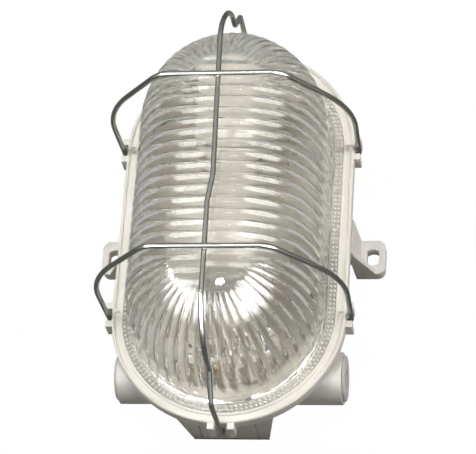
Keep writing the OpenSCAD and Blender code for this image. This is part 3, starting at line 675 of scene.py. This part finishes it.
        # Two rows of pressed dots on the band, the second between the dots of the first
        tree, given = node_tree("pressed_dots", {
            "Pitch": "NodeSocketFloat", "Dot": "NodeSocketFloat", "Material": "NodeSocketMaterial",
        })
        line = add(tree, "GeometryNodeMeshToCurve", {0: given.outputs[0]}).outputs[0]
        spots = add(tree, "GeometryNodeResampleCurve", {
            "Curve": line, "Length": given.outputs["Pitch"],
        }, mode="LENGTH").outputs[0]
        dot = add(tree, "GeometryNodeMeshUVSphere", {
            "Segments": 8, "Rings": 5, "Radius": given.outputs["Dot"],
        }).outputs[0]
        placed = add(tree, "GeometryNodeInstanceOnPoints", {
            "Points": spots, "Instance": dot, "Scale": (1.0, 1.0, 0.9),
        }).outputs[0]
        end_tree(tree, placed, given.outputs["Material"])
        middle = (band_r + size.foot_radius + size.bead) / 2
        half_gap = 1.05 * size.knurl_dot
        lines = []
        for r in (middle - half_gap, middle + half_gap):
            ring_line = np.stack([r * np.cos(heading), place + r * np.sin(heading), 0 * place + band_z], -1)
            lines.append((ring_line.tolist(), True))
        # The dots' milky white glass is a painted glint, not a colour the clear glass has
        dot_glint_paint = dot_glass_painted_glint(context.scene.bulkhead.finish.glass)
        dots = grown(line_mesh("knurl_lines", lines), tree, {
            "Pitch": size.knurl_pitch, "Dot": size.knurl_dot, "Material": dot_glint_paint,
        })
        new_piece("glass_knurl", dots, "cover")
        return {"FINISHED"}


class BULKHEAD_OT_guard(bpy.types.Operator):
    """Bend the three guard wires and weld them where they cross"""

    bl_idname = "bulkhead.guard"
    bl_label = "Wire guard"

    def execute(self, context):
        size = context.scene.bulkhead.guard
        zinc = plated_metal("bright_zinc_plated_wire", context.scene.bulkhead.finish.wire, 0.2, 6.0)
        tree, given = node_tree("drawn_wire", {
            "Diameter": "NodeSocketFloat", "Material": "NodeSocketMaterial",
        })
        line = add(tree, "GeometryNodeMeshToCurve", {0: given.outputs[0]}).outputs[0]
        width = given.outputs["Diameter"]
        half = add(tree, "ShaderNodeMath", {0: width, 1: 0.5}, operation="MULTIPLY").outputs[0]
        round_bar = add(tree, "GeometryNodeCurvePrimitiveCircle", {
            "Resolution": 20, "Radius": half,
        }).outputs[0]
        bar = add(tree, "GeometryNodeCurveToMesh", {
            "Curve": line, "Profile Curve": round_bar, "Fill Caps": True,
        }).outputs[0]
        end_tree(tree, bar, given.outputs["Material"])

        half_wire = size.wire / 2
        top = cross_high.z - half_wire
        hook_z = cross_low.z + half_wire
        half_cross = [
            (size.hook_tip, hook_z),
            (size.foot, hook_z),
            (size.shoulder, top - size.shoulder_drop),
            (size.flat / 2, top),
        ]
        corners = [(-x, z) for x, z in half_cross] + half_cross[::-1]
        cross_bends = [size.hook_bend, size.shoulder_bend, size.top_bend]
        wires = {}
        for name in ("guard_upper_cross_wire", "guard_lower_cross_wire"):
            low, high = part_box(name)
            y = (low.y + high.y) / 2
            wires[name] = bent_path([(x, y, z) for x, z in corners], cross_bends + cross_bends[::-1])

        end = long_high.y - half_wire
        crown_z = long_high.z - half_wire
        inner = end - size.step_in
        high_step = crown_z - size.step_drop
        half_long = [
            (SPINE + size.hook_tip, hook_z),
            (end, hook_z),
            (end, high_step - size.step_height),
            (inner, high_step),
            (inner, crown_z - size.fall_drop),
        ]
        crown_y = inner - size.fall_run
        kink_y = -size.kink_place
        long_corners = [(0, -y, z) for y, z in half_long]
        long_corners += [
            (-size.kink / 2, -crown_y, crown_z),
            (-size.kink, kink_y - size.kink_run, crown_z),
            (size.kink / 4, kink_y, crown_z),
            (-size.kink, crown_y, crown_z),
        ]
        long_corners += [(0, y, z) for y, z in half_long[::-1]]
        end_bends = [size.hook_bend, size.step_bend, size.step_bend, size.fall_bend, size.fall_bend]
        wires["guard_long_wire"] = bent_path(long_corners, end_bends + [size.kink_bend] * 2 + end_bends[::-1])
        for name, path in wires.items():
            made = grown(line_mesh(name + "_line", [(path, False)]), tree, {
                "Diameter": size.wire, "Material": zinc,
            })
            made.set_sharp_from_angle(angle=math.radians(40))
            new_piece(name + "_drawn", made, "cover", replaced=[name])

        tree, given = node_tree("weld_nuggets", {
            "Nugget": "NodeSocketFloat", "Material": "NodeSocketMaterial",
        })
        blob = add(tree, "GeometryNodeMeshUVSphere", {
            "Segments": 20, "Rings": 12, "Radius": given.outputs["Nugget"],
        }).outputs[0]
        placed = add(tree, "GeometryNodeInstanceOnPoints", {
            "Points": given.outputs[0], "Instance": blob, "Scale": (0.9, 0.9, 0.6),
        }).outputs[0]
        end_tree(tree, placed, given.outputs["Material"])
        crossings = []
        for name in ("guard_upper_cross_wire", "guard_lower_cross_wire"):
            y = wires[name][0].y
            near = min(wires["guard_long_wire"], key=lambda p: abs(p.y - y) + abs(p.z - crown_z))
            crossings.append((near.x, y, (crown_z + top) / 2))
        welds = grown(line_mesh("weld_points", [([c], False) for c in crossings]), tree, {
            "Nugget": size.weld, "Material": zinc,
        })
        new_piece("guard_welds", welds, "cover")
        return {"FINISHED"}


class BULKHEAD_OT_mouldings(bpy.types.Operator):
    """Round the edges of the moulded base and ring"""

    bl_idname = "bulkhead.mouldings"
    bl_label = "Base and ring"

    def execute(self, context):
        finish = context.scene.bulkhead.finish
        grey = moulded_plastic("moulded_abs_base", finish.base, 0.5, 0.35)
        white = moulded_plastic("moulded_abs_ring", finish.ring, 0.46, 0.2)
        # One tub, packed as walls, cable end and flat back
        tub = ["base", "base_end", "base_back"]
        back_top = 2.4 * MM
        end_line = -41 * MM
        tub_mesh = cad_copy(tub, 0.35 * MM, seam=(back_top, end_line))
        new_piece("base_moulding", tub_mesh, "base_body", grey, tub)
        new_piece("ring_moulding", cad_copy(["ring"], 0.25 * MM), "cover", white, ["ring"])
        return {"FINISHED"}


class BULKHEAD_OT_rubbers(bpy.types.Operator):
    """Finish the cable grommets and the foam seal"""

    bl_idname = "bulkhead.rubbers"
    bl_label = "Grommets and seal"

    def execute(self, context):
        finish = context.scene.bulkhead.finish
        soft = soft_rubber("moulded_grommet_rubber", finish.rubber, 0.8, 0.2)
        foam = soft_rubber("foam_seal_rubber", finish.seal, 1.2, 0.6)
        for name in ("left_cable_grommet", "right_cable_grommet"):
            grommet = cad_copy([name], 0.4 * MM)
            new_piece(name + "_rubber", grommet, "base_body", soft, [name])
        new_piece("foam_seal", cad_copy(["seal"], 0.4 * MM), "base_body", foam, ["seal"])
        return {"FINISHED"}


class BULKHEAD_OT_lamp(bpy.types.Operator):
    """Turn the opal bulb, its screw cap and its contact tip"""

    bl_idname = "bulkhead.lamp"
    bl_label = "Lamp"

    def execute(self, context):
        size = context.scene.bulkhead.lamp
        finish = context.scene.bulkhead.finish
        opal = glazed("opal_bulb_glass", finish.opal, 0.16)
        metal = plated_metal("pressed_aluminium_cap", finish.cap, 0.3, 5.0)
        black = glazed("cap_insulating_glass", linear("1b1a1c"), 0.2)
        bulb_r = size.bulb / 2
        cap_r = size.cap / 2
        tip_y = lamp_high.y
        cap_y = tip_y - size.cap_length
        bulb_y = lamp_low.y + bulb_r
        tangent = math.radians(40)
        leave = Vector((bulb_r * math.cos(tangent), bulb_y + bulb_r * math.sin(tangent)))
        meet = Vector((cap_r, cap_y - size.neck))
        turn = Vector((cap_r, leave.y + (leave.x - cap_r) / math.tan(tangent)))
        globe = [
            (bulb_r * math.cos(a), bulb_y + bulb_r * math.sin(a))
            for a in np.linspace(-math.pi / 2, tangent, 40)
        ]
        neck = [
            tuple((1 - t) ** 2 * leave + 2 * t * (1 - t) * turn + t ** 2 * meet)
            for t in np.linspace(0, 1, 16)[1:]
        ]
        foot = [(cap_r - 0.4 * MM, cap_y), (cap_r - 1.5 * MM, cap_y + 2 * MM), (0.0, cap_y + 2 * MM)]
        bulb = turned("lamp_bulb", [(0.0, lamp_low.y)] + globe[1:] + neck + foot, LAMP_AXIS_Z, 72)
        new_piece("lamp_bulb", bulb, "base_body", opal, ["lamp"])

        def thread(y):
            def radius(turn_angle):
                wave = math.cos(2 * math.pi * (y - cap_y) / size.thread_pitch - turn_angle)
                ease = min(1, (y - cap_y - size.collar) / size.thread_pitch)
                return cap_r - size.thread_depth * ease * (0.5 - 0.5 * wave)
            return radius

        cone_y = tip_y - size.tip_cone
        collar = [(cap_r - 0.5 * MM, cap_y - 0.3 * MM), (cap_r, cap_y), (cap_r, cap_y + size.collar)]
        screw = [(thread(y), y) for y in np.linspace(cap_y + size.collar, cone_y, 72)[1:]]
        close = [(cap_r - 2 * MM, cone_y + 0.6 * MM), (0.0, cone_y + 0.6 * MM)]
        cap = turned("lamp_cap", [(0.0, cap_y - 0.3 * MM)] + collar + screw + close, LAMP_AXIS_Z, 64)
        new_piece("lamp_cap", cap, "base_body", metal)
        glass_cone = [
            (0.0, cone_y),
            (cap_r - 2 * MM, cone_y),
            (size.tip + 1.5 * MM, tip_y - 1.4 * MM),
            (size.tip, tip_y - 1.2 * MM),
            (0.0, tip_y - 1.2 * MM),
        ]
        insulator = turned("lamp_insulator", glass_cone, LAMP_AXIS_Z, 48)
        new_piece("lamp_insulator", insulator, "base_body", black)
        tip = [
            (0.0, tip_y - 2 * MM),
            (size.tip, tip_y - 2 * MM),
            (size.tip, tip_y - 0.7 * MM),
            (size.tip - 1.2 * MM, tip_y),
            (0.0, tip_y),
        ]
        new_piece("lamp_tip", turned("lamp_tip", tip, LAMP_AXIS_Z, 40), "base_body", metal)
        return {"FINISHED"}


class BULKHEAD_OT_lampholder(bpy.types.Operator):
    """Finish the porcelain holder, roll its brass screw shell and fit its bracket and screws"""

    bl_idname = "bulkhead.lampholder"
    bl_label = "Lampholder"

    def execute(self, context):
        size = context.scene.bulkhead.lamp
        finish = context.scene.bulkhead.finish
        china = glazed("glazed_porcelain", finish.porcelain, 0.12)
        brass = plated_metal("pressed_brass", finish.brass, 0.3, 5.0)
        sheet = plated_metal("zinc_plated_sheet_steel", finish.steel, 0.34, 8.0)
        screws = plated_metal("zinc_plated_screws", finish.steel, 0.3, 3.0)
        pieces = (
            ("lampholder_body", "porcelain_holder", 0.5, china, "porcelain"),
            ("lampholder_centre_contact", "centre_contact", 0.15, brass, "contact_brass"),
            ("lampholder_bracket", "folded_bracket", 0.2, sheet, "bracket_steel"),
            ("bracket_screws", "bracket_pan_screws", 0.12, screws, "screw_steel"),
            ("lampholder_screws", "holder_pan_screws", 0.12, screws, "screw_steel"),
        )
        for node, name, bevel, material, slot in pieces:
            new_piece(name, cad_copy([node], bevel * MM), "base_body", material, [node])

        outer = shell_high.x
        inner = outer - size.shell_wall
        first, last = shell_low.y, shell_high.y

        def rolled(y):
            def radius(turn_angle):
                wave = math.cos(2 * math.pi * (y - last) / size.thread_pitch - turn_angle)
                ends = min(1, (y - first) / size.thread_pitch, (last - y) / size.thread_pitch)
                return outer + size.shell_thread * max(0, ends) * (0.5 * wave - 0.5)
            return radius

        steps = np.linspace(first, last - size.shell_wall, 60)
        profile = [(inner, y) for y in steps[::-1]] + [(rolled(y), y) for y in steps]
        hole = inner - 4 * MM
        foot = [(outer, last), (hole, last), (hole, last - size.shell_wall), (inner, last - size.shell_wall)]
        shell = turned("rolled_shell", profile + foot, LAMP_AXIS_Z, 64)
        new_piece("rolled_shell", shell, "base_body", brass, ["lampholder_screw_shell"])
        return {"FINISHED"}


class BULKHEAD_OT_wiring(bpy.types.Operator):
    """Finish the terminal block, its brass tubes, its screws and the two leads"""

    bl_idname = "bulkhead.wiring"
    bl_label = "Wiring"

    def execute(self, context):
        finish = context.scene.bulkhead.finish
        body = moulded_plastic("moulded_terminal_polyamide", finish.terminal, 0.45, 0.2)
        brass = bpy.data.materials["pressed_brass"]
        screws = bpy.data.materials["zinc_plated_screws"]
        sleeve = soft_rubber("silicone_lead_sleeving", finish.sleeving, 0.6, 0.1)
        pieces = (
            ("terminal_block", "terminal_strip", 0.3, body, "terminal_plastic"),
            ("terminal_tubes", "brass_terminal_tubes", 0.15, brass, "contact_brass"),
            ("terminal_screws", "clamp_screws", 0.1, screws, "screw_steel"),
            ("terminal_block_screws", "strip_screws", 0.1, screws, "screw_steel"),
            ("live_lead", "live_sleeved_lead", 0.0, sleeve, "lead_sleeving"),
            ("neutral_lead", "neutral_sleeved_lead", 0.0, sleeve, "lead_sleeving"),
        )
        for node, name, bevel, material, slot in pieces:
            smooth = 35.0 if bevel else 60.0
            new_piece(name, cad_copy([node], bevel * MM, smooth), "base_body", material, [node])
        return {"FINISHED"}


class BULKHEAD_OT_stage(bpy.types.Operator):
    """Set the world, the floor, the lamps, the soft boxes and the camera"""

    bl_idname = "bulkhead.stage"
    bl_label = "Stage"

    def execute(self, context):
        scene = context.scene
        scene.view_settings.view_transform = "Standard"
        # Light that runs on inside the wall of the dome has to find its way out
        scene.cycles.max_bounces = 24
        scene.cycles.glossy_bounces = 16
        scene.cycles.transmission_bounces = 20

        world = bpy.data.worlds.new("white_studio")
        world.use_nodes = True
        tree = world.node_tree
        tree.nodes.clear()
        # White to the camera, a room with a bright ceiling in gloss and through glass, and faint fill light
        warm = (1.0, 0.97, 0.93, 1.0)
        plain = (1.0, 1.0, 1.0, 1.0)
        path = add(tree, "ShaderNodeLightPath")
        bent = add(tree, "ShaderNodeMath", {
            0: path.outputs["Is Glossy Ray"], 1: path.outputs["Is Transmission Ray"],
        }, operation="MAXIMUM").outputs[0]
        straight = add(tree, "ShaderNodeMath", {
            0: bent, 1: undimmed(tree, path),
        }, operation="MULTIPLY").outputs[0]
        fill = add(tree, "ShaderNodeBackground", {"Color": warm, "Strength": 0.15})
        toward = add(tree, "ShaderNodeTexCoord").outputs["Generated"]
        ceiling = add(tree, "ShaderNodeMapRange", {
            "Value": add(tree, "ShaderNodeSeparateXYZ", {0: toward}).outputs["Z"],
            "From Min": 0.3, "From Max": 0.9, "To Min": 0.46, "To Max": 1.1,
        }).outputs["Result"]
        room = add(tree, "ShaderNodeBackground", {"Color": warm, "Strength": ceiling})
        white = add(tree, "ShaderNodeBackground", {"Color": plain, "Strength": 1.0})
        near = add(tree, "ShaderNodeMixShader", {0: straight, 1: fill.outputs[0], 2: room.outputs[0]})
        mix = add(tree, "ShaderNodeMixShader", {
            0: path.outputs["Is Camera Ray"], 1: near.outputs[0], 2: white.outputs[0],
        })
        add(tree, "ShaderNodeOutputWorld", {"Surface": mix.outputs[0]})
        scene.world = world

        # Paper that is white to the camera, greyer through the glass, and matt to everything else
        paper, tree, _ = start_material("white_floor_paper")
        path = add(tree, "ShaderNodeLightPath")
        through = add(tree, "ShaderNodeMath", {
            0: path.outputs["Is Transmission Ray"], 1: undimmed(tree, path),
        }, operation="MULTIPLY").outputs[0]
        seen = add(tree, "ShaderNodeMath", {
            0: path.outputs["Is Camera Ray"], 1: through,
        }, operation="MAXIMUM").outputs[0]
        # The share that stays matt keeps a trace of the shadow
        share = add(tree, "ShaderNodeMath", {0: seen, 1: 0.95}, operation="MULTIPLY").outputs[0]
        power = add(tree, "ShaderNodeMapRange", {
            "Value": through, "To Min": 1.04, "To Max": 0.5,
        }).outputs["Result"]
        matt = add(tree, "ShaderNodeBsdfDiffuse", {"Color": (0.3, 0.295, 0.28, 1.0)})
        glow = add(tree, "ShaderNodeEmission", {"Color": plain, "Strength": power})
        mix = add(tree, "ShaderNodeMixShader", {0: share, 1: matt.outputs[0], 2: glow.outputs[0]})
        add(tree, "ShaderNodeOutputMaterial", {"Surface": mix.outputs[0]})
        reach = 3.0
        below = -0.3 * MM
        mesh = bpy.data.meshes.new("floor")
        corners = ((-reach, -reach), (reach, -reach), (reach, reach), (-reach, reach))
        mesh.from_pydata([(x, y, below) for x, y in corners], [], [(0, 1, 2, 3)])
        mesh.materials.append(paper)
        floor = bpy.data.objects.new("floor", mesh)
        scene.collection.objects.link(floor)

        aim = Vector((0.0, 0.0, 0.05))
        # Two lamps overhead, as their small reflections on the near end of the dome show, one that only
        # lights the matt pieces, and two large soft boxes that only show in gloss and through the glass
        lights = (
            ("left_lamp", (-0.61, 0.12, 0.78), 0.14, 0.14, 4.2, True, True),
            ("top_lamp", (-0.01, 0.06, 1.00), 0.12, 0.12, 2.8, True, True),
            ("right_lamp", (0.80, 0.10, 0.58), 0.30, 0.30, 4.4, True, False),
            ("left_box", (-0.45, -0.38, 0.78), 0.80, 1.45, 60.0, False, True),
            ("right_box", (0.57, -0.38, 0.70), 1.20, 1.45, 108.0, False, True),
        )
        for name, direction, wide, long, watts, lights_up, gleams in lights:
            lamp = bpy.data.lights.new(name, "AREA")
            lamp.shape = "ELLIPSE" if lights_up else "RECTANGLE"
            lamp.size = wide
            lamp.size_y = long
            lamp.energy = watts
            if not lights_up:
                lamp.use_nodes = True
                tree = lamp.node_tree
                tree.nodes.clear()
                # A soft box is brightest in the middle and falls off towards its cloth edges
                spot = add(tree, "ShaderNodeNewGeometry").outputs["Parametric"]
                middle = (0.5, 0.5, 0.0)
                offset = add(tree, "ShaderNodeVectorMath", {0: spot, 1: middle}, operation="DISTANCE")
                soft = add(tree, "ShaderNodeMapRange", {
                    "Value": offset.outputs["Value"],
                    "From Min": 0.2, "From Max": 0.5, "To Min": 1.0, "To Max": 0.0,
                }, interpolation_type="SMOOTHSTEP").outputs["Result"]
                shown = undimmed(tree, add(tree, "ShaderNodeLightPath"))
                strength = add(tree, "ShaderNodeMath", {0: soft, 1: shown}, operation="MULTIPLY").outputs[0]
                gleam = add(tree, "ShaderNodeEmission", {"Strength": strength})
                add(tree, "ShaderNodeOutputLight", {"Surface": gleam.outputs[0]})
            light = bpy.data.objects.new(name, lamp)
            light.visible_diffuse = lights_up
            light.visible_glossy = gleams
            light.visible_transmission = gleams
            way = Vector(direction).normalized()
            light.location = aim + way
            light.rotation_mode = "QUATERNION"
            across = (Vector((1.0, 0.0, 0.0)) - way * way.x).normalized()
            light.rotation_quaternion = Matrix((across, way.cross(across), way)).transposed().to_quaternion()
            scene.collection.objects.link(light)

        # The photograph's viewpoint: round from the front, above the floor, tipped about the line of sight
        azimuth, elevation, roll = (math.radians(a) for a in (18.717, 61.617, -16.899))
        back = Vector((
            math.sin(azimuth) * math.cos(elevation),
            -math.cos(azimuth) * math.cos(elevation),
            math.sin(elevation),
        ))
        level = Vector((math.cos(azimuth), math.sin(azimuth), 0.0))
        up = back.cross(level)
        right = math.cos(roll) * level + math.sin(roll) * up
        over = math.cos(roll) * up - math.sin(roll) * level
        camera = bpy.data.objects.new("camera", bpy.data.cameras.new("camera"))
        camera.data.lens = 181.39
        camera.data.sensor_width = 36.0
        camera.data.shift_x = 0.00774
        camera.data.shift_y = 0.00606
        turn = Matrix((right, over, back)).transposed().to_4x4()
        stand = Vector((0.17554, -0.51811, 1.04846))
        camera.matrix_world = Matrix.Translation(stand) @ turn
        scene.collection.objects.link(camera)
        scene.camera = camera
        return {"FINISHED"}


class BULKHEAD_PT_panel(bpy.types.Panel):
    """Sizes, colours and build steps of the light"""

    bl_label = "Bulkhead Light"
    bl_idname = "BULKHEAD_PT_panel"
    bl_space_type = "VIEW_3D"
    bl_region_type = "UI"
    bl_category = "Bulkhead"

    def draw(self, context):
        settings = context.scene.bulkhead
        for group in (settings.dome, settings.guard, settings.lamp, settings.finish):
            box = self.layout.box()
            for name in group.bl_rna.properties.keys():
                if name not in ("rna_type", "name"):
                    box.prop(group, name)
        for operator in OPERATORS:
            self.layout.operator(operator.bl_idname)


OPERATORS = (
    BULKHEAD_OT_stage,
    BULKHEAD_OT_mouldings,
    BULKHEAD_OT_dome,
    BULKHEAD_OT_guard,
    BULKHEAD_OT_rubbers,
    BULKHEAD_OT_lamp,
    BULKHEAD_OT_lampholder,
    BULKHEAD_OT_wiring,
)
GROUPS = (BulkheadDome, BulkheadGuard, BulkheadLamp, BulkheadFinish, BulkheadSettings)


def register():
    for cls in GROUPS + OPERATORS + (BULKHEAD_PT_panel,):
        bpy.utils.register_class(cls)
    bpy.types.Scene.bulkhead = bpy.props.PointerProperty(type=BulkheadSettings)


def unregister():
    del bpy.types.Scene.bulkhead
    for cls in reversed(GROUPS + OPERATORS + (BULKHEAD_PT_panel,)):
        bpy.utils.unregister_class(cls)


def main():
    """Build every piece in order."""
    register()
    bpy.ops.bulkhead.stage()
    bpy.ops.bulkhead.mouldings()
    bpy.ops.bulkhead.dome()
    bpy.ops.bulkhead.guard()
    bpy.ops.bulkhead.rubbers()
    bpy.ops.bulkhead.lamp()
    bpy.ops.bulkhead.lampholder()
    bpy.ops.bulkhead.wiring()


if __name__ == "__main__":
    main()
